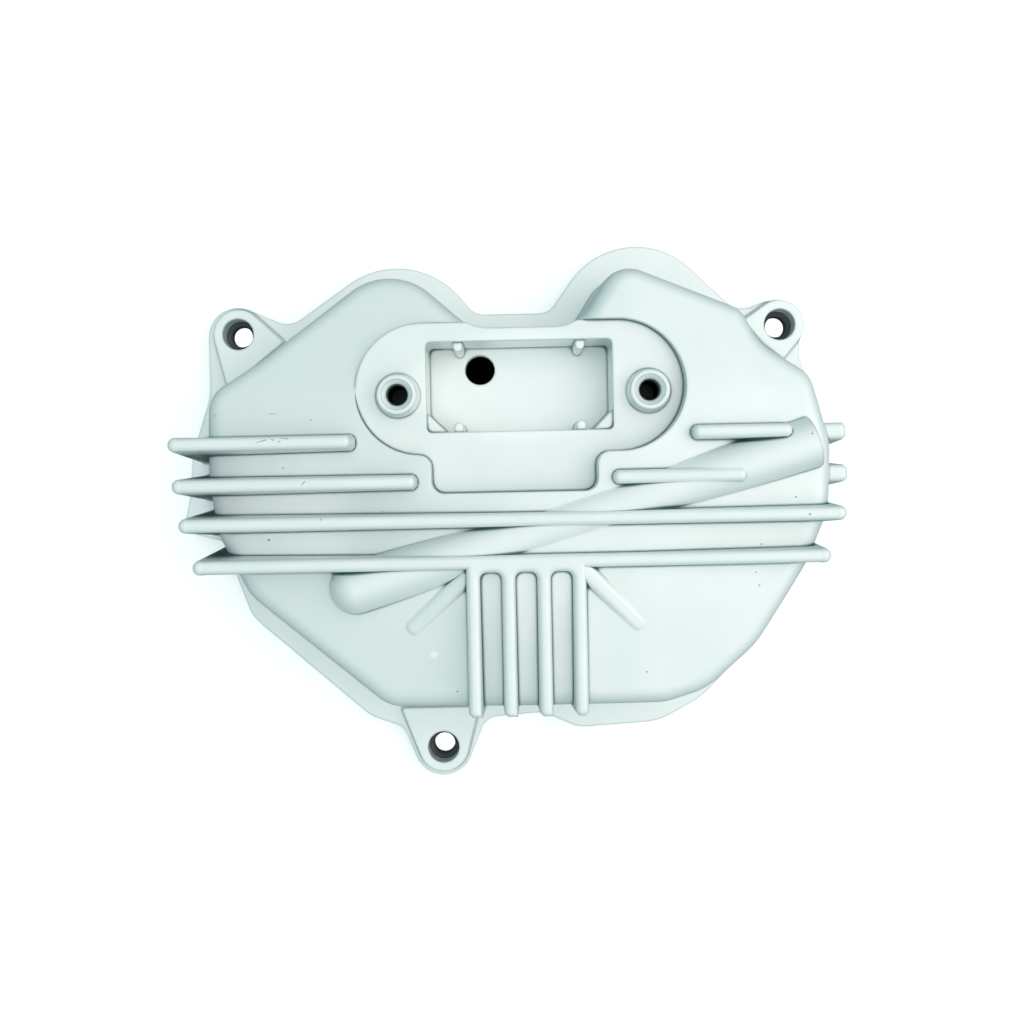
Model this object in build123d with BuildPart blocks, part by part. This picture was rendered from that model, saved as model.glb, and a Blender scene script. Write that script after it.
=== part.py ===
from build123d import *
from math import radians, tan
import os

# Cover of an engine's valve gear: one aluminium casting, lying on its gasket face.
# Millimetres. X runs along the cooling fins, Y across them, Z up from the gasket face.

# flange and fixing lugs
flange_height = 6.0
lug_height = 9.0
lug_radius = 10.0
lug_top_radius = 8.3
lug_draft = 12.0
left_lug = (-88.6, 62.4)
right_lug = (95.5, 62.0)
lower_lug = (-21.6, -79.2)
bolt_hole = 7.0
bolt_throat = 3.0
bolt_mouth = 10.6
drill_point = 118.0
lug_pad_corner = 0.8

# crowned shell
crown_height = 47.5
crown_left_edge = 3.0
crown_right_edge = 42.0
crown_upper_edge = 34.0
crown_lower_edge = -24.0
left_fall = 7.5
right_fall = 5.2
upper_fall = 13.0
lower_fall = 7.0
crown_blend = 90.0
crown_margin = 16.5
shell_draft = 4.0
shoulder_radius = 6.0
wall = 4.0

# cooling fins and ribs
rib_height = 2.7
rib_thickness = 4.0
rib_draft = 3.0
rib_end_draft = 4.0
rib_end_chamfer = 1.15
rib_edge_radius = 1.6
rib_foot_level = 3.0
stub_level = 37.0
stub_thickness = 5.2

# diagonal oil gallery
gallery_radius = 8.0
gallery_blind_end = (-45.3, -21.6, 40.8)
gallery_open_end = (96.4, 20.6, 41.8)

# breather pocket and chamber
pocket_level = 39.8
pocket_radius = 20.5
pocket_left = -24.1
pocket_right = 36.8
pocket_centre_y = 39.4
tongue_left = -21.1
tongue_right = 29.6
tongue_end = 7.0
tongue_corner = 3.8
chamber_width = 57.8
chamber_length = 28.0
chamber_centre = (6.4, 39.9)
chamber_depth = 16.0
chamber_corner = 1.5
chamber_wall = 3.5
web_leg = 6.2
web_drop = 1.0
peg_width = 2.8
peg_reach = 3.0
peg_pitch = 38.0
port_diameter = 9.6
port_centre = (-6.2, 46.8)

# tapped bosses in the pocket
boss_left_x = -31.3
boss_right_x = 46.3
boss_y = 37.5
boss_height = 4.5
boss_radius = 6.9
boss_draft = 10.0
tap_drill = 6.8
tap_depth = 15.0
tap_mouth = 9.4
boss_root_radius = 7.5

crest_level = crown_height + rib_height

flange_corners = [
    (-99.2, 42.0, 25.0),
    (-105.7, 22.0, 8.0),
    (-106.8, 8.0, 5.0),
    (-108.5, 0.0, 3.0),
    (-108.5, -4.4, 2.0),
    (-95.8, -8.0, 1.5),
    (-86.3, -34.0, 15.0),
    (-46.3, -68.9, 13.0),
    (lower_lug[0] - 13.7, -72.7, 6.0),
    (lower_lug[0] - 0.3, lower_lug[1] - 26.8, lug_radius),
    (lower_lug[0] + 14.4, -70.2, 6.0),
    (12.5, -68.6, 10.0),
    (24.5, -74.1, 10.0),
    (52.0, -72.5, 20.0),
    (67.0, -64.5, 30.0),
    (87.5, -43.5, 50.0),
    (108.5, -11.0, 25.0),
    (108.5, 34.5, 15.0),
    (102.4, 52.0, 8.0),
    (right_lug[0] + 10.1, right_lug[1] + 14.2, lug_radius),
    (82.0, 66.8, 8.0),
    (43.4, 104.1, 27.0),
    (17.2, 67.9, 6.0),
    (-8.0, 67.9, 7.0),
    (-29.9, 93.9, 28.0),
    (-71.5, 64.9, 8.0),
    (left_lug[0] - 10.9, left_lug[1] + 15.0, lug_radius),
]
crown_span = max(x for x, y, radius in flange_corners) + crown_margin

shell_corners = [
    (-95.0, 12.0, 20.0),
    (-92.4, -5.0, 20.0),
    (-82.0, -25.5, 20.0),
    (-37.5, -62.2, 14.0),
    (50.0, -62.0, 20.0),
    (64.0, -58.0, 25.0),
    (80.5, -43.5, 30.0),
    (97.0, -18.0, 40.0),
    (104.5, -1.0, 30.0),
    (105.4, 20.0, 20.0),
    (99.5, 43.5, 12.0),
    (84.0, 53.5, 14.0),
    (78.5, 65.0, 11.0),
    (37.0, 82.0, 12.0),
    (23.2, 60.8, 10.0),
    (-7.2, 60.8, 12.0),
    (-33.8, 84.6, 22.0),
    (-78.0, 51.5, 18.0),
    (-95.0, 41.0, 12.0),
]

# each lug: its hole and the two corners of its raised face against the shell
lug_pads = [
    (left_lug, (-92.0, 45.5), (-74.5, 59.5)),
    (right_lug, (84.5, 63.5), (96.5, 51.5)),
    (lower_lug, (-34.5, -66.5), (-10.5, -66.5)),
]

# each fin, and each stub of one past the gallery: left tip, right tip and centre line
fins = [
    (-99.8, -45.2, 23.2),
    (-98.8, -25.9, 10.6),
    (-97.0, 103.8, -1.3),
    (58.4, 88.0, 24.0),
    (34.1, 74.0, 10.9),
]
stubs = [
    (92.0, 108.3, 24.0),
    (92.0, 108.5, 10.8),
]
lower_fin_left = -93.0
lower_fin_right = 98.8
lower_fin_y = -14.0
upright_count = 4
upright_centre_x = 7.15
upright_pitch = 10.7
upright_end = -60.6
upright_draft = 1.5
slot_corner = 2.2
slot_gap = 1.1

# diagonal braces beside the upright ribs, each fading into the crown:
# offset from the middle upright line, start line, direction, crest at start and end
brace_length = 28.0
brace_thickness = 5.4
brace_end_chamfer = 1.6
brace_edge_radius = 2.1
brace_offset = 16.0
braces = [
    (-brace_offset, -16.8, -137.5, 47.9, 42.2),
    (brace_offset, -15.4, -45.5, 50.1, 46.3),
]


def rounded_outline(corners):
    """Closed line through the corners, each rounded with its own radius."""
    points = [(x, y) for x, y, radius in corners]
    radii = [radius for x, y, radius in corners]
    FilletPolyline(*points, radius=radii, close=True)


def crown_body(rise):
    """Solid below the crowned top of the shell, raised by rise."""
    top = crown_height + rise
    lower_end = top - (crown_span + crown_lower_edge) * tan(radians(lower_fall))
    upper_end = top - (crown_span - crown_upper_edge) * tan(radians(upper_fall))
    with BuildPart() as body:
        with BuildLine() as spine:
            FilletPolyline(
                (0, -crown_span, lower_end),
                (0, crown_lower_edge, top),
                (0, crown_upper_edge, top),
                (0, crown_span, upper_end),
                radius=crown_blend,
            )
        section_plane = Plane(spine.line @ 0, x_dir=(1, 0, 0), z_dir=-(spine.line % 0))
        left_drop = (crown_span + crown_left_edge) * tan(radians(left_fall))
        right_drop = (crown_span - crown_right_edge) * tan(radians(right_fall))
        with BuildSketch(section_plane):
            with BuildLine():
                rounded_outline([
                    (-crown_span, -crown_height, 0),
                    (crown_span, -crown_height, 0),
                    (crown_span, -right_drop, 0),
                    (crown_right_edge, 0, crown_blend),
                    (crown_left_edge, 0, crown_blend),
                    (-crown_span, -left_drop, 0),
                ])
            make_face()
        sweep(path=spine.line)
    return body.part


def pad_outline():
    """Face of the breather pocket: a slot with a tongue towards the fins."""
    left = pocket_left - pocket_radius
    right = pocket_right + pocket_radius
    lower = pocket_centre_y - pocket_radius
    upper = pocket_centre_y + pocket_radius
    round_end = pocket_radius - 0.01
    with BuildSketch(Plane.XY) as face:
        with BuildLine():
            rounded_outline([
                (tongue_left, tongue_end, tongue_corner),
                (tongue_right, tongue_end, tongue_corner),
                (tongue_right, lower, tongue_corner),
                (right, lower, round_end),
                (right, upper, round_end),
                (left, upper, round_end),
                (left, lower, round_end),
                (tongue_left, lower, tongue_corner),
            ])
        make_face()
    return face.sketch


def wedge(start, angle, length, width, crest, end_crest, draft):
    """Sharp drafted rib from start along angle: a side profile met by a cross section."""
    rise = crest - rib_foot_level
    end_rise = end_crest - rib_foot_level
    end_run = rise * tan(radians(rib_end_draft))
    half_crest = width / 2
    half_foot = half_crest + rise * tan(radians(draft))
    side = Plane((*start, rib_foot_level), x_dir=(1, 0, 0), z_dir=(0, -1, 0)).rotated((0, 0, angle))
    section = Plane((*start, rib_foot_level), x_dir=(0, 1, 0), z_dir=(1, 0, 0)).rotated((0, 0, angle))
    with BuildPart() as body:
        with BuildSketch(side):
            Polygon((-end_run, 0), (length + end_run, 0), (length, end_rise), (0, rise), align=None)
        extrude(amount=half_foot, both=True)
        with BuildSketch(section):
            Polygon((-half_foot, 0), (half_foot, 0), (half_crest, rise), (-half_crest, rise), align=None)
        extrude(amount=length + 2 * end_run, both=True, mode=Mode.INTERSECT)
    return body.part


def steep(edge):
    """True for the rising corners of a drafted rib."""
    return abs((edge % 0.5).Z) > 0.9


def rib(start, angle, length, crest, end_crest, width, end_chamfer, edge_radius):
    """Drafted rib with blunted ends and a rounded crest."""
    with BuildPart() as body:
        add(wedge(start, angle, length, width, crest, end_crest, rib_draft))
        chamfer(body.edges().filter_by(steep), end_chamfer)
        fillet(body.faces().sort_by(Axis.Z)[-1].edges(), edge_radius)
    return body.part


lug_flare = (lug_height - flange_height) * tan(radians(lug_draft))
boss_top = pocket_level + boss_height
drill_cone = (bolt_mouth - bolt_hole) / 2 / tan(radians(drill_point / 2))
crown = crown_body(0)

with BuildPart() as shell_block:
    with BuildSketch(Plane.XY):
        with BuildLine():
            rounded_outline(shell_corners)
        make_face()
    extrude(amount=crest_level, taper=shell_draft)

with BuildPart() as shell:
    add(shell_block.part)
    add(crown, mode=Mode.INTERSECT)
    fillet(shell.edges().filter_by(lambda edge: edge.center().Z > flange_height), shoulder_radius)

with BuildPart() as pad:
    with BuildSketch(Plane.XY.offset(pocket_level)):
        add(pad_outline())
    extrude(amount=-2 * wall)
    add(shell_block.part, mode=Mode.INTERSECT)

ribs = []
for rows, level, width in ((fins, crest_level, rib_thickness), (stubs, stub_level, stub_thickness)):
    for left, right, y in rows:
        ribs.append(rib((left, y), 0, right - left, level, level, width, rib_end_chamfer, rib_edge_radius))
for offset_x, y, angle, crest, end_crest in braces:
    start = (upright_centre_x + offset_x, y)
    ribs.append(rib(
        start, angle, brace_length, crest, end_crest, brace_thickness, brace_end_chamfer, brace_edge_radius
    ))

# the lower fin with its upright ribs, like a comb
upright_length = lower_fin_y - upright_end
block_width = (upright_count - 1) * upright_pitch + rib_thickness
slot_top = lower_fin_y - rib_thickness / 2 - slot_gap
with BuildPart() as comb:
    comb_start = (upright_centre_x, lower_fin_y)
    add(wedge(comb_start, -90, upright_length, block_width, crest_level, crest_level, upright_draft))
    with BuildSketch(Plane.XY.offset(crest_level)):
        with Locations((upright_centre_x, slot_top - upright_length)):
            with GridLocations(upright_pitch, 0, upright_count - 1, 1):
                RectangleRounded(upright_pitch - rib_thickness, 2 * upright_length, slot_corner)
    extrude(amount=rib_foot_level - crest_level, taper=upright_draft, mode=Mode.SUBTRACT)
    lower_fin_length = lower_fin_right - lower_fin_left
    fin_start = (lower_fin_left, lower_fin_y)
    add(wedge(fin_start, 0, lower_fin_length, rib_thickness, crest_level, crest_level, rib_draft))
    tips = comb.edges().filter_by(GeomType.LINE).filter_by(steep).filter_by(
        lambda edge: edge.center().Y < upright_end or not lower_fin_left < edge.center().X < lower_fin_right
    )
    chamfer(tips, rib_end_chamfer)
    fillet(comb.faces().filter_by(Axis.Z).sort_by(Axis.Z)[-1].edges(), rib_edge_radius)
ribs.append(comb.part)

with BuildPart() as gallery:
    axis = Vector(*gallery_open_end) - Vector(*gallery_blind_end)
    with BuildSketch(Plane(gallery_blind_end, z_dir=axis)):
        Circle(gallery_radius)
    extrude(amount=axis.length)
    with Locations(gallery_blind_end):
        Sphere(gallery_radius)

with BuildPart() as core:
    with BuildSketch(Plane.XY):
        with BuildLine():
            rounded_outline(shell_corners)
        make_face()
        offset(amount=-wall)
    extrude(amount=crown_height, taper=shell_draft)
    add(crown_body(-wall), mode=Mode.INTERSECT)
    with BuildSketch(Plane.XY.offset(pocket_level - wall)):
        with Locations(((pocket_left + pocket_right) / 2, pocket_centre_y)):
            SlotCenterToCenter(pocket_right - pocket_left, 2 * (pocket_radius + wall))
        with Locations(((tongue_left + tongue_right) / 2, (tongue_end + pocket_centre_y) / 2)):
            Rectangle(tongue_right - tongue_left + 2 * wall, pocket_centre_y - tongue_end + 2 * wall)
    extrude(amount=crown_height, mode=Mode.SUBTRACT)
    with BuildSketch(Plane.XY.offset(pocket_level - chamber_depth - chamber_wall)):
        with Locations(chamber_centre):
            Rectangle(chamber_width + 2 * chamber_wall, chamber_length + 2 * chamber_wall)
    extrude(amount=crown_height, mode=Mode.SUBTRACT)
    with BuildSketch(Plane.XY.offset(pocket_level + boss_height - tap_depth - wall)):
        with Locations((boss_left_x, boss_y), (boss_right_x, boss_y)):
            Circle(boss_root_radius)
    extrude(amount=crown_height, mode=Mode.SUBTRACT)

with BuildPart() as valve_cover:
    with BuildSketch(Plane.XY):
        with BuildLine():
            rounded_outline(flange_corners)
        make_face()
    extrude(amount=flange_height)
    add(shell.part)
    add(gallery.part)
    add(ribs)
    add(pad.part)
    with BuildSketch(Plane.XY.offset(pocket_level)):
        add(pad_outline())
    extrude(amount=crown_height, mode=Mode.SUBTRACT)
    add(core.part, mode=Mode.SUBTRACT)

    # lugs
    for hole, near, far in lug_pads:
        for level, grow in ((flange_height, lug_flare), (lug_height, 0)):
            with BuildSketch(Plane.XY.offset(level)):
                with Locations(hole):
                    Circle(lug_top_radius + grow)
                with Locations(near, far):
                    Circle(lug_pad_corner + grow)
                make_hull()
        loft(ruled=True)
    for hole, near, far in lug_pads:
        with BuildSketch(Plane.XZ.offset(-hole[1])):
            with BuildLine():
                Polyline(
                    (hole[0], -1),
                    (hole[0] + bolt_hole / 2, -1),
                    (hole[0] + bolt_hole / 2, bolt_throat),
                    (hole[0] + bolt_mouth / 2, bolt_throat + drill_cone),
                    (hole[0] + bolt_mouth / 2, lug_height + 1),
                    (hole[0], lug_height + 1),
                    close=True,
                )
            make_face()
        revolve(axis=Axis((hole[0], hole[1], 0), (0, 0, 1)), mode=Mode.SUBTRACT)

    # tapped bosses
    with BuildSketch(Plane.XY.offset(pocket_level)):
        with Locations((boss_left_x, boss_y), (boss_right_x, boss_y)):
            Circle(boss_radius)
    extrude(amount=boss_height, taper=boss_draft)

    # chamber
    with BuildSketch(Plane.XY.offset(pocket_level - chamber_depth)):
        with Locations(chamber_centre):
            RectangleRounded(chamber_width, chamber_length, chamber_corner)
    extrude(amount=chamber_depth, mode=Mode.SUBTRACT)
    left, right = chamber_centre[0] - chamber_width / 2, chamber_centre[0] + chamber_width / 2
    lower, upper = chamber_centre[1] - chamber_length / 2, chamber_centre[1] + chamber_length / 2
    with BuildSketch(Plane.XY.offset(pocket_level - chamber_depth)):
        for corner_x, inward in ((left, web_leg), (right, -web_leg)):
            Polygon((corner_x, lower), (corner_x + inward, lower), (corner_x, lower + web_leg), align=None)
        for x in (chamber_centre[0] - peg_pitch / 2, chamber_centre[0] + peg_pitch / 2):
            for wall_y in (lower, upper):
                with Locations((x, wall_y)):
                    SlotOverall(2 * peg_reach, peg_width, rotation=90)
    extrude(amount=chamber_depth - web_drop)
    with Locations((*port_centre, pocket_level - chamber_depth)):
        Hole(port_diameter / 2)

    # tapped holes
    with Locations((boss_left_x, boss_y, boss_top), (boss_right_x, boss_y, boss_top)):
        CounterSinkHole(tap_drill / 2, tap_mouth / 2, tap_depth, counter_sink_angle=90)

# the frame's origin is the middle of the footprint, on the gasket face
footprint = valve_cover.part.bounding_box()
cover = valve_cover.part.moved(Location((-footprint.center().X, -footprint.center().Y, -footprint.min.Z)))
cover.label = "valve_cover"
os.makedirs("parts", exist_ok=True)
export_step(cover, "parts/valve_cover.step")
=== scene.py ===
import math

import bpy
import numpy as np
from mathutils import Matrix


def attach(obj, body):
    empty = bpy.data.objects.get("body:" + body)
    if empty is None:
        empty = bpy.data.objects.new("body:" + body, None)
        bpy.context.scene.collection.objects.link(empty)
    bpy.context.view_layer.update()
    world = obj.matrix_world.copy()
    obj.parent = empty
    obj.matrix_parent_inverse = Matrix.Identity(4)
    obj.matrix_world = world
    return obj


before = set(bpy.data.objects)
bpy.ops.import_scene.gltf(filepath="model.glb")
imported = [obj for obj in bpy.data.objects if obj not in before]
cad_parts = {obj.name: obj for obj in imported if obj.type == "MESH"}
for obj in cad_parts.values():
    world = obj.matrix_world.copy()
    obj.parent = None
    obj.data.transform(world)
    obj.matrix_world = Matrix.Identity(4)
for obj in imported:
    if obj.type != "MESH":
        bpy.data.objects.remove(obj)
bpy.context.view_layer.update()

MM = 0.001

# Places are in the casting's drawing, in millimetres from its own origin, unless a line says otherwise.
# the middle of the footprint, which is the origin of the row frame
CENTRE_X, CENTRE_Y = 1.189, 0.304

# levels above the gasket face
BOSS_TOP = 44.3
CREST = 50.2


def placed(*places):
    """Places in the drawing as places in the row frame, in metres."""
    return [((x - CENTRE_X) * MM, (y - CENTRE_Y) * MM) for x, y in places]


LUG_HOLES = placed((-88.6, 62.4), (95.5, 62.0), (-21.6, -79.2))
TAPPED_HOLES = placed((-31.3, 37.5), (46.3, 37.5))

# free ends of the long fins, and which way each points
FIN_TIPS = [
    (-99.8, 23.2, -1),
    (-98.8, 10.6, -1),
    (-97.0, -1.3, -1),
    (-93.0, -14.0, -1),
    (103.8, -1.3, 1),
    (98.8, -14.0, 1),
]

# long marks and round patches: middle, half length, half width, and direction in degrees
# the chamber, where painted light makes the floor paler and the painted shade on walls and roots is weaker
CHAMBER = (6.4, 39.9, 38.0, 20.0, 0.0)
PALE_SPOT = (-21.7, -42.6, 1.6, 1.4, 0.0)
SCRATCHES = [
    (-71.3, 23.8, 2.3, 0.22, 14.0),
    (-68.3, 24.3, 1.3, 0.20, -35.0),
    (-64.6, 24.5, 2.0, 0.22, -8.0),
    (-66.2, 23.4, 0.9, 0.20, 40.0),
    (-59.2, 10.8, 1.3, 0.22, 47.0),
    (-89.9, 32.9, 1.0, 0.26, 0.0),
    (-71.0, 32.9, 1.7, 0.20, 0.0),
    (-58.8, 30.7, 1.5, 0.20, -8.0),
]

# specks: middle and radius
SPECKS = [
    (-72.8, -6.4, 0.50),
    (-67.8, 15.9, 0.36),
    (-54.1, -0.1, 0.28),
    (-36.6, 1.9, 0.26),
    (94.0, 22.7, 0.36),
    (90.4, 3.7, 0.38),
    (92.5, -1.5, 0.42),
    (79.3, -10.5, 0.34),
    (77.4, -19.1, 0.30),
    (78.4, -23.1, 0.34),
    (43.5, -48.8, 0.34),
    (-14.7, -54.1, 0.36),
]


# ---------------------------------------------------------------- meshes

def mesh_piece(name, points, faces, material):
    """A piece at the origin from an (n, 3) array of points in millimetres and a list of faces."""
    mesh = bpy.data.meshes.new(name)
    mesh.from_pydata((points * MM).tolist(), [], faces)
    mesh.materials.append(material)
    mesh.polygons.foreach_set("use_smooth", np.ones(len(mesh.polygons), dtype=bool))
    mesh.update()
    piece = bpy.data.objects.new(name, mesh)
    bpy.context.scene.collection.objects.link(piece)
    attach(piece, "root")
    return piece


def grid_faces(rows, columns, wrap_rows=False, wrap_columns=False):
    """Corners of the quads of a rows x columns grid of points, wrapped where it closes on itself."""
    r = np.arange(rows if wrap_rows else rows - 1)[:, None]
    c = np.arange(columns if wrap_columns else columns - 1)[None, :]
    r2, c2 = (r + 1) % rows, (c + 1) % columns
    quads = np.stack([r * columns + c, r2 * columns + c, r2 * columns + c2, r * columns + c2], axis=-1)
    return quads.reshape(-1, 4)


# ---------------------------------------------------------------- shader nodes

def new_material(name):
    """An empty node material and its node tree."""
    material = bpy.data.materials.new(name)
    material.use_nodes = True
    tree = material.node_tree
    tree.nodes.clear()
    return material, tree


def add_node(tree, kind, **settings):
    """A node with its settings; an input is set by its name, or by its number for a shared name."""
    node = tree.nodes.new(kind)
    for key, value in settings.items():
        if key.startswith("in_"):
            which = key[3:]
            socket = node.inputs[int(which)] if which.isdigit() else node.inputs[which.replace("_", " ")]
            if isinstance(value, bpy.types.NodeSocket):
                tree.links.new(value, socket)
            else:
                socket.default_value = value
        else:
            setattr(node, key, value)
    return node


def put_on_surface(tree, shader):
    """Joins a shader node to the material's surface."""
    output = add_node(tree, "ShaderNodeOutputMaterial")
    tree.links.new(shader.outputs[0], output.inputs[0])


def own_place(tree):
    """The point on the object, in metres of the row frame."""
    return add_node(tree, "ShaderNodeTexCoord").outputs["Object"]


def seen_by_camera(tree):
    """One on what the camera sees directly, and nought elsewhere."""
    return add_node(tree, "ShaderNodeLightPath").outputs["Is Camera Ray"]


def parts(tree, vector):
    """The three parts of a vector."""
    return add_node(tree, "ShaderNodeSeparateXYZ", in_0=vector).outputs


def vector_math(tree, operation, a, b=(0.0, 0.0, 0.0)):
    """A Vector Math node."""
    return add_node(tree, "ShaderNodeVectorMath", operation=operation, in_0=a, in_1=b)


def math_node(tree, operation, a, b=0.0, c=0.0):
    """The result of a Math node."""
    return add_node(tree, "ShaderNodeMath", operation=operation, in_0=a, in_1=b, in_2=c).outputs[0]


def product(tree, first, *others):
    """Several values multiplied."""
    for other in others:
        first = math_node(tree, "MULTIPLY", first, other)
    return first


def most(tree, first, *others):
    """The largest of several values."""
    for other in others:
        first = math_node(tree, "MAXIMUM", first, other)
    return first


def spread(tree, value, low, high, to_low=0.0, to_high=1.0):
    """value mapped from low..high to to_low..to_high, smoothly and clamped."""
    return add_node(tree, "ShaderNodeMapRange", interpolation_type="SMOOTHSTEP",
                    in_0=value, in_1=low, in_2=high, in_3=to_low, in_4=to_high).outputs[0]


def ramp(tree, length, low, high, to_low=0.0, to_high=1.0):
    """The same for a length in metres, from low..high in millimetres."""
    return spread(tree, length, low * MM, high * MM, to_low, to_high)


def mixed(tree, share, first, second):
    """The colour that lies share of the way from first to second; each is a colour or a socket."""
    ends = [end if isinstance(end, bpy.types.NodeSocket) else (*end, 1.0) for end in (first, second)]
    mix = add_node(tree, "ShaderNodeMix", data_type="RGBA", in_0=share, in_6=ends[0], in_7=ends[1])
    return mix.outputs[2]


def noise(tree, where, scale, detail=3.0, roughness=0.5):
    """Noise on the object's own coordinates."""
    return add_node(tree, "ShaderNodeTexNoise", in_Vector=where, in_Scale=scale,
                    in_Detail=detail, in_Roughness=roughness).outputs["Fac"]


def within(tree, where, places, reach):
    """One on what lies nearer than reach millimetres to any of the row places, as seen from above."""
    flat = vector_math(tree, "MULTIPLY", where, (1.0, 1.0, 0.0)).outputs[0]
    distances = [vector_math(tree, "DISTANCE", flat, (*place, 0.0)).outputs["Value"] for place in places]
    return most(tree, *[math_node(tree, "LESS_THAN", distance, reach * MM) for distance in distances])


def patch(tree, where, x, y, half_length, half_width, angle):
    """One in the middle of a small long mark or round patch, and nought outside it."""
    (row_x, row_y), = placed((x, y))
    local = add_node(tree, "ShaderNodeMapping", vector_type="TEXTURE", in_Vector=where,
                     in_Location=(row_x, row_y, 0.0), in_Rotation=(0.0, 0.0, math.radians(angle)),
                     in_Scale=(half_length * MM, half_width * MM, 1.0)).outputs[0]
    length = vector_math(tree, "LENGTH", local).outputs["Value"]
    return spread(tree, length, 0.6, 1.0, 1.0, 0.0)


# ---------------------------------------------------------------- finish of the casting, with its painted light and shade

PALE_METAL = (0.80, 0.845, 0.822)
DULL_METAL = (0.76, 0.81, 0.79)
FLANGE_PAINTED_LIGHT = (0.84, 0.885, 0.865)
CHAMBER_PAINTED_LIGHT = (0.90, 0.94, 0.92)
VALLEY_PAINTED_LIGHT = (0.98, 0.99, 0.985)
SPOT_METAL = (0.93, 0.95, 0.94)
WALL_SHADE = (0.27, 0.41, 0.41)
FLANK_SHADE = (0.05, 0.11, 0.12)
EDGE_SHADE = (0.26, 0.40, 0.41)
ROOT_SHADE = (0.06, 0.15, 0.16)
RING_SHADE = (0.16, 0.28, 0.29)
MARK_SHADE = (0.10, 0.16, 0.17)
LUG_HOLE_SHADE = (0.06, 0.07, 0.075)
TAPPED_HOLE_SHADE = (0.004, 0.006, 0.006)

# millimetres: softening of the edges, painted shade line along an edge, reach of the painted shade line along
# a root
EDGE_ROUNDING = 1.2
EDGE_LINE = 0.45
ROOT_REACH = 1.6

# millimetres: radii round a lug hole's axis and a tapped hole's, and the turned ring on a boss
LUG_HOLE_RADIUS = 5.22
TAPPED_HOLE_RADIUS = 3.55
RING_RADII = (4.56, 4.84)

# millimetres of the row frame: bands over which a painted shade or painted light comes in or goes out
FLANGE_LEVELS = (9.5, 12.0)
LOWER_WALL_LEVELS = (10.0, 20.0)
FLANK_LEVELS = (34.0, 47.0)
FLANK_FOOT_LEVELS = (6.5, 9.0)
TAPPED_HOLE_LEVELS = (38.0, 43.0)
VALLEY_LEVELS = (47.5, 48.5)
VALLEYS_LOWER_END = (-18.0, -15.0)
VALLEYS_UPPER_END = (23.0, 25.0)
VALLEYS_RIGHT_END = (-62.0, -38.0)
SHELL_LEFT_WALL = (-88.0, -80.0)
FINS_MIDDLE, FINS_HALF_WIDTH = 4.2, 18.7

# parts of a normal, its turn at an edge, open sky near a root, and noise, over which a shade comes in
WALL_SLOPE = (0.10, 0.75)
FLANK_SLOPE = (0.80, 0.96)
EDGE_TURN = (0.76, 0.97)
ROOT_SKY = (0.52, 0.82)
CHAMBER_RIM = (0.0, 0.1)
MOTTLE_BAND = (0.3, 0.7)
BREAK_BAND = (0.42, 0.55)

# noise per metre
GRAIN_SCALE = 1400.0
MOTTLE_SCALE = 60.0
BREAK_SCALE = 1500.0


def fin_flanks(tree, where, normal):
    """Painted shade on the flanks of the fins past the shell's left wall, darker with depth and only between
    the fins.
    """
    across, along, level = parts(tree, where)
    sideways = math_node(tree, "ABSOLUTE", parts(tree, normal)[1])
    between_outer_fins = math_node(tree, "COMPARE", along, FINS_MIDDLE * MM, FINS_HALF_WIDTH * MM)
    return product(tree, spread(tree, sideways, *FLANK_SLOPE), ramp(tree, across, *SHELL_LEFT_WALL, 1.0, 0.0),
                   ramp(tree, level, *FLANK_LEVELS, 1.0, 0.0), between_outer_fins,
                   ramp(tree, level, *FLANK_FOOT_LEVELS))


def left_valleys(tree, where):
    """Floors between the left fins, below the fins' crests, where painted light makes the metal paler."""
    across, along, level = parts(tree, where)
    return product(tree, ramp(tree, along, *VALLEYS_LOWER_END),
                   ramp(tree, along, *VALLEYS_UPPER_END, 1.0, 0.0),
                   ramp(tree, level, *VALLEY_LEVELS, 1.0, 0.0),
                   ramp(tree, across, *VALLEYS_RIGHT_END, 1.0, 0.0))


def wear_marks(tree, where):
    """Broken scratches and round specks."""
    scratched = most(tree, *[patch(tree, where, *mark) for mark in SCRATCHES])
    broken = spread(tree, noise(tree, where, BREAK_SCALE), *BREAK_BAND)
    specked = most(tree, *[patch(tree, where, x, y, radius, radius, 0.0) for x, y, radius in SPECKS])
    return most(tree, product(tree, scratched, broken), specked)


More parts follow.
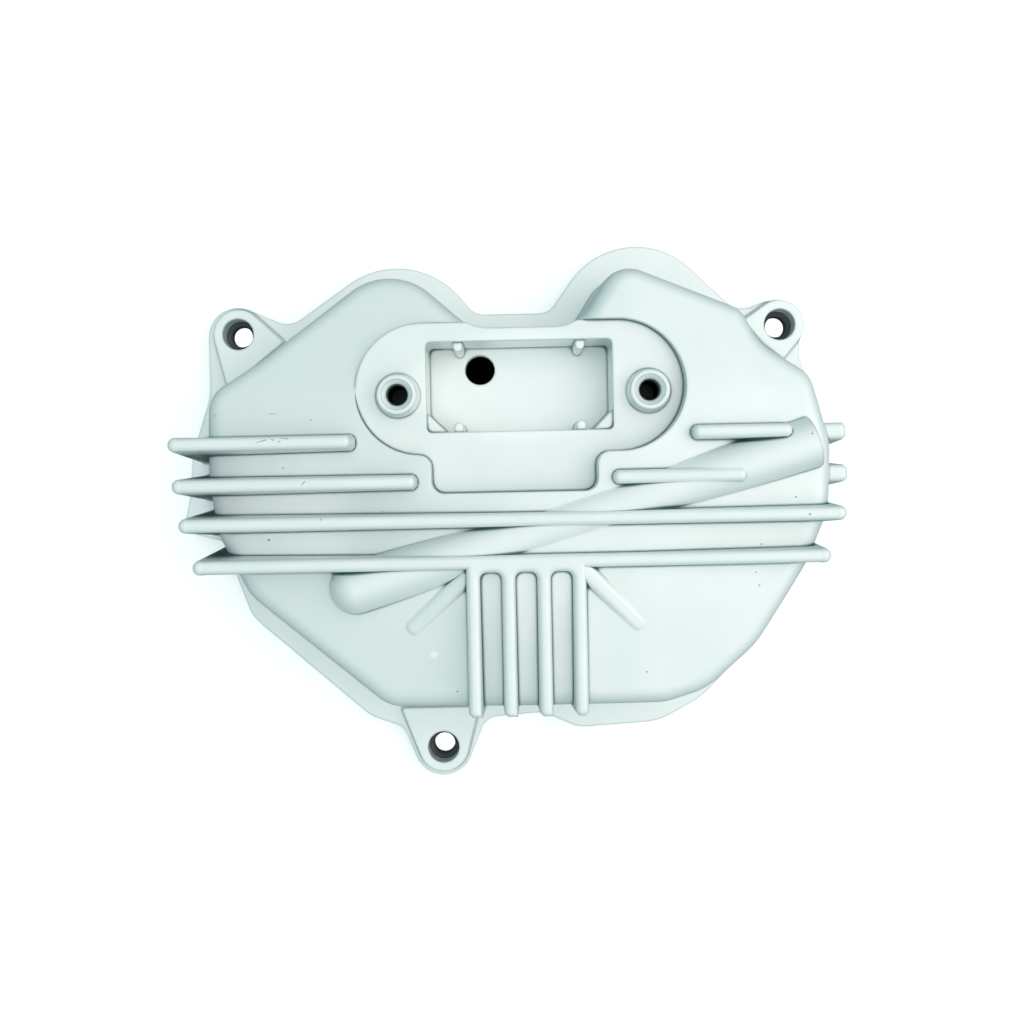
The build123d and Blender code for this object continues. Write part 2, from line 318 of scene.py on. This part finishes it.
def cast_aluminium():
    """Pale sand-finished aluminium: fine grain, a soft mottle and rounded cast edges.
    Painted shade makes walls darker than faces, puts a thin dark line along every root and every sharp edge,
    and darkens the holes and the flanks between the left fins; painted light makes the flange, the chamber
    floor and the floors between the left fins paler; a few scratches and specks lie on the fins and the
    crown."""
    material, tree = new_material("cast_aluminium")
    where = own_place(tree)
    level = parts(tree, where)[2]
    grain = noise(tree, where, GRAIN_SCALE, 4.0, 0.6)
    mottle = noise(tree, where, MOTTLE_SCALE)
    in_chamber = patch(tree, where, *CHAMBER)

    # the rounded normal tells walls from faces, and its turn from the true one marks a sharp edge
    rounded = add_node(tree, "ShaderNodeBevel", samples=4, in_Radius=EDGE_ROUNDING * MM).outputs[0]
    outline = add_node(tree, "ShaderNodeBevel", samples=5, in_Radius=EDGE_LINE * MM).outputs[0]
    true_normal = add_node(tree, "ShaderNodeNewGeometry").outputs["Normal"]
    turn = vector_math(tree, "DOT_PRODUCT", outline, true_normal).outputs["Value"]
    occlusion = add_node(tree, "ShaderNodeAmbientOcclusion", samples=12, in_Distance=ROOT_REACH * MM)
    # painted shade: walls darken by their slope, less so in the chamber
    wall = product(tree, spread(tree, parts(tree, rounded)[2], *WALL_SLOPE, 1.0, 0.0),
                   spread(tree, in_chamber, *CHAMBER_RIM, 0.34, 0.0))
    # painted shade along sharp edges, weaker low down
    edge = product(tree, spread(tree, turn, *EDGE_TURN, 1.0, 0.0),
                   ramp(tree, level, *LOWER_WALL_LEVELS, 0.25, 1.0))
    # painted shade in the roots, from how little sky they see
    root = product(tree, spread(tree, occlusion.outputs["AO"], *ROOT_SKY, 1.0, 0.0),
                   spread(tree, in_chamber, *CHAMBER_RIM, 1.0, 0.6),
                   ramp(tree, level, *LOWER_WALL_LEVELS, 0.65, 1.0))

    inner_ring, outer_ring = [within(tree, where, TAPPED_HOLES, radius) for radius in RING_RADII]
    ring = math_node(tree, "SUBTRACT", outer_ring, inner_ring)
    # painted shade deep in the tapped holes
    in_tapped_hole = product(tree, within(tree, where, TAPPED_HOLES, TAPPED_HOLE_RADIUS),
                             ramp(tree, level, *TAPPED_HOLE_LEVELS, 1.0, 0.0))

    skin = mixed(tree, spread(tree, mottle, *MOTTLE_BAND, 0.0, 0.3), PALE_METAL, DULL_METAL)
    # painted light: the flange is made paler where the shell shades it
    skin = mixed(tree, ramp(tree, level, *FLANGE_LEVELS, 1.0, 0.0), skin, FLANGE_PAINTED_LIGHT)
    # painted light: the chamber's floor is made paler where its walls shade it
    skin = mixed(tree, in_chamber, skin, CHAMBER_PAINTED_LIGHT)
    # painted light: the floors between the left fins are made paler where the fins shade them
    skin = mixed(tree, left_valleys(tree, where), skin, VALLEY_PAINTED_LIGHT)
    skin = mixed(tree, patch(tree, where, *PALE_SPOT), skin, SPOT_METAL)
    # painted shade: walls darker than faces
    skin = mixed(tree, wall, skin, WALL_SHADE)
    # painted shade: the flanks between the left fins
    skin = mixed(tree, fin_flanks(tree, where, rounded), skin, FLANK_SHADE)
    # painted shade: a dark line along every sharp edge
    skin = mixed(tree, edge, skin, EDGE_SHADE)
    # painted shade: a dark line along every root
    skin = mixed(tree, root, skin, ROOT_SHADE)
    skin = mixed(tree, product(tree, ring, 0.45), skin, RING_SHADE)
    skin = mixed(tree, product(tree, wear_marks(tree, where), 0.75), skin, MARK_SHADE)
    # painted shade: the lug holes' bores are nearly black
    skin = mixed(tree, within(tree, where, LUG_HOLES, LUG_HOLE_RADIUS), skin, LUG_HOLE_SHADE)
    # painted shade: the tapped holes are nearly black below their mouths
    skin = mixed(tree, in_tapped_hole, skin, TAPPED_HOLE_SHADE)

    bump = add_node(tree, "ShaderNodeBump", in_Strength=0.10, in_Distance=0.2 * MM,
                    in_Height=grain, in_Normal=rounded)
    rough = spread(tree, mottle, *MOTTLE_BAND, 0.42, 0.52)
    shader = add_node(tree, "ShaderNodeBsdfPrincipled", in_Base_Color=skin, in_Metallic=0.32,
                      in_Roughness=rough, in_Normal=bump.outputs[0])
    put_on_surface(tree, shader)
    return material


def cut_thread():
    """Machined metal of the tapped holes, painted nearly black as shade below the first turns."""
    material, tree = new_material("cut_thread")
    # painted shade: the thread goes nearly black deeper in the hole
    deep_shade, bare = (0.008, 0.010, 0.010), (0.17, 0.22, 0.22)
    level = parts(tree, own_place(tree))[2]
    colour = mixed(tree, ramp(tree, level, BOSS_TOP - 6.0, BOSS_TOP - 1.5), deep_shade, bare)
    shader = add_node(tree, "ShaderNodeBsdfPrincipled", in_Base_Color=colour,
                      in_Metallic=0.9, in_Roughness=0.35)
    put_on_surface(tree, shader)
    return material


casting_finish = cast_aluminium()
thread_finish = cut_thread()

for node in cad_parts.values():
    for slot in node.material_slots:
        slot.material = casting_finish


# ---------------------------------------------------------------- threads of the tapped holes

def thread(name, centre):
    """Ridges of a thread standing inside the hole, as one closed ring round the hole's axis.
    The inner radius is the wall's less a ridge: (0.5 + 0.5 cos(angle - 2 pi height / pitch)) to the
    power 1.5, times the ridge's height. It fades out under the mouth.
    The outer wall lies inside the metal."""
    pitch, ridge, hole_radius, depth = 1.25, 0.42, 3.42, 12.6
    clearance, buried, fade_length, corners, rows = 0.02, 0.25, 0.5, 48, 121
    top = BOSS_TOP - 1.7
    angle = np.linspace(0, 2 * np.pi, corners, endpoint=False)[None, :]
    height = np.linspace(top - depth, top, rows)[:, None]
    wave = 0.5 + 0.5 * np.cos(angle - 2 * np.pi * height / pitch)
    fade = np.clip((top - height) / fade_length, 0, 1)
    inner = hole_radius - clearance - ridge * wave ** 1.5 * fade
    outer = np.full_like(inner, hole_radius + buried)
    radius = np.concatenate([inner, outer[::-1]])
    level = np.concatenate([height, height[::-1]])
    x = centre[0] / MM + radius * np.cos(angle)
    y = centre[1] / MM + radius * np.sin(angle)
    points = np.stack([x, y, np.broadcast_to(level, x.shape)], axis=-1).reshape(-1, 3)
    faces = grid_faces(len(radius), corners, wrap_rows=True, wrap_columns=True).tolist()
    return mesh_piece(name, points, faces, thread_finish)


for hand, centre in zip(("left", "right"), TAPPED_HOLES):
    thread("thread_" + hand, centre)


# ---------------------------------------------------------------- rounded tips of the fins

def fin_tip(name, tip_x, y, outward):
    """Round end of a fin: a post as wide as the fin, drafted like it and with the same rounded crest.
    Its radius is half the crest, plus the drop below it times the draft, less rounding (1 - cos) where the
    crest rounds over, and the drop there is rounding (1 - sin). Its middle leans out with the fin's end.
    It stands a hair above the crest and below the fin's foot, so that no two faces lie in one plane."""
    half_crest, rounding, crest, foot = 2.15, 1.6, CREST + 0.03, 2.98
    set_back, wall_top, corners, arc_rows, wall_rows = 0.12, 2.0, 40, 9, 12
    side_draft, end_draft = math.tan(math.radians(3)), math.tan(math.radians(4))
    arc = np.linspace(np.pi / 2, 0, arc_rows)
    drop = np.concatenate([rounding * (1 - np.sin(arc)), np.linspace(wall_top, crest - foot, wall_rows)])
    taken = np.concatenate([rounding * (1 - np.cos(arc)), np.zeros(wall_rows)])
    radius = half_crest + drop * side_draft - taken
    middle = tip_x - outward * (half_crest - set_back) + outward * drop * (end_draft - side_draft)
    angle = np.linspace(0, 2 * np.pi, corners, endpoint=False)[None, :]
    x = middle[:, None] + radius[:, None] * np.cos(angle) - CENTRE_X
    row_y = y + radius[:, None] * np.sin(angle) - CENTRE_Y
    level = np.broadcast_to(crest - drop[:, None], x.shape)
    points = np.stack([x, row_y, level], axis=-1).reshape(-1, 3)
    poles = [[middle[end] - CENTRE_X, y - CENTRE_Y, crest - drop[end]] for end in (0, -1)]
    points = np.append(points, poles, axis=0)
    top_pole, foot_pole = len(points) - 2, len(points) - 1
    c = np.arange(corners)
    c2 = (c + 1) % corners
    foot_row = corners * (len(drop) - 1)
    lid = np.stack([c, c2, np.full(corners, top_pole)], axis=-1).tolist()
    base = np.stack([foot_row + c2, foot_row + c, np.full(corners, foot_pole)], axis=-1).tolist()
    sides = grid_faces(len(drop), corners, wrap_columns=True).tolist()
    return mesh_piece(name, points, sides + lid + base, casting_finish)


for number, place in enumerate(FIN_TIPS):
    fin_tip(f"fin_tip_{number}", *place)


# ---------------------------------------------------------------- camera

# the camera looks straight down; its picture is as wide as it is high
CAMERA_X, CAMERA_Y, CAMERA_HEIGHT = 3.4, 7.6, 357.0
CAMERA_ROLL = -1.2
FRAME_PIXELS = 1024
RAISED_PIXELS = -22
SENSOR = 36.0

camera_data = bpy.data.cameras.new("camera")
camera_data.sensor_width = SENSOR
camera_data.lens = SENSOR
camera_data.shift_y = RAISED_PIXELS / FRAME_PIXELS
camera = bpy.data.objects.new("camera", camera_data)
camera.location = ((CAMERA_X - CENTRE_X) * MM, (CAMERA_Y - CENTRE_Y) * MM, CAMERA_HEIGHT * MM)
camera.rotation_euler = (0.0, 0.0, math.radians(CAMERA_ROLL))
bpy.context.scene.collection.objects.link(camera)
bpy.context.scene.camera = camera


# ---------------------------------------------------------------- floor

# half the floor's side in metres
FLOOR_HALF = 3.0

# millimetres: half axes of the ellipse of painted shade under the casting, and how far the painted light
# under a lug hole reaches
HOLLOW = (85.0, 58.0)
LUG_LIGHT_REACH = 7.0

PAPER = (0.92, 0.92, 0.92)
PAPER_TO_CASTING = (0.22, 0.32, 0.32)
UNDER_CASTING_SHADE = (0.004, 0.005, 0.005)
PAPER_GLOW = 0.32
LUG_HOLE_PAINTED_LIGHT = 0.65


def white_floor():
    """Paper, white to the camera with a soft shadow, duller to the casting, with painted shade that makes it
    black under the casting's hollow and painted light under each lug hole.
    """
    material, tree = new_material("white_floor")
    where = own_place(tree)
    reach = vector_math(tree, "MULTIPLY", where, (1 / (HOLLOW[0] * MM), 1 / (HOLLOW[1] * MM), 0.0)).outputs[0]
    outside = math_node(tree, "GREATER_THAN", vector_math(tree, "LENGTH", reach).outputs["Value"], 1.0)
    seen = seen_by_camera(tree)
    # painted shade: the paper under the casting's hollow is black
    colour = mixed(tree, outside, UNDER_CASTING_SHADE, mixed(tree, seen, PAPER_TO_CASTING, PAPER))
    # painted light: the paper under each lug hole glows brighter to the camera
    under_lug = within(tree, where, LUG_HOLES, LUG_LIGHT_REACH)
    glow = math_node(tree, "MULTIPLY_ADD", under_lug, LUG_HOLE_PAINTED_LIGHT, PAPER_GLOW)
    paper = add_node(tree, "ShaderNodeBsdfDiffuse", in_Color=colour)
    glowing = add_node(tree, "ShaderNodeEmission", in_Color=(1.0, 1.0, 1.0, 1.0),
                       in_Strength=product(tree, seen, outside, glow))
    both = add_node(tree, "ShaderNodeAddShader", in_0=paper.outputs[0], in_1=glowing.outputs[0])
    put_on_surface(tree, both)
    return material


floor_mesh = bpy.data.meshes.new("floor")
floor_corners = [(x * FLOOR_HALF, y * FLOOR_HALF, 0) for x, y in ((-1, -1), (1, -1), (1, 1), (-1, 1))]
floor_mesh.from_pydata(floor_corners, [], [(0, 1, 2, 3)])
floor_mesh.materials.append(white_floor())
floor = bpy.data.objects.new("floor", floor_mesh)
bpy.context.scene.collection.objects.link(floor)


# ---------------------------------------------------------------- light

def area_light(name, place, target, size, power):
    """A square soft box at place that faces target."""
    light = bpy.data.lights.new(name, "AREA")
    light.size = size
    light.energy = power
    lamp = bpy.data.objects.new(name, light)
    lamp.location = place
    away_x, away_y, away_z = np.array(place) - np.array(target)
    tilt = math.atan2(math.hypot(away_x, away_y), away_z)
    lamp.rotation_euler = (tilt, 0.0, math.atan2(away_x, -away_y))
    bpy.context.scene.collection.objects.link(lamp)


def studio(name):
    """Soft light all round, bright and white from the upper right, cool and dim from the left.
    The camera sees it as plain white."""
    bright_way, cool_white, white = (0.465, 0.065, 0.883), (0.70, 0.98, 1.0), (1.0, 1.0, 1.0)
    dim_facing, bright_facing = 0.35, 0.86
    dim_strength, bright_strength = 0.65, 1.27
    world = bpy.data.worlds.new(name)
    world.use_nodes = True
    tree = world.node_tree
    tree.nodes.clear()
    way = add_node(tree, "ShaderNodeTexCoord").outputs["Generated"]
    facing = vector_math(tree, "DOT_PRODUCT", way, bright_way).outputs["Value"]
    share = spread(tree, facing, dim_facing, bright_facing)
    seen = seen_by_camera(tree)
    tint = mixed(tree, seen, mixed(tree, share, cool_white, white), white)
    lit = math_node(tree, "MULTIPLY_ADD", share, bright_strength - dim_strength, dim_strength)
    strength = add_node(tree, "ShaderNodeMix", data_type="FLOAT", in_0=seen, in_2=lit, in_3=1.0).outputs[0]
    background = add_node(tree, "ShaderNodeBackground", in_Color=tint, in_Strength=strength)
    output = add_node(tree, "ShaderNodeOutputWorld")
    tree.links.new(background.outputs[0], output.inputs[0])
    return world


area_light("right_box", place=(0.90, 0.10, 0.80), target=(0.0, 0.0, 0.02), size=0.7, power=1.35)
bpy.context.scene.world = studio("studio")
bpy.context.scene.view_settings.view_transform = "Standard"
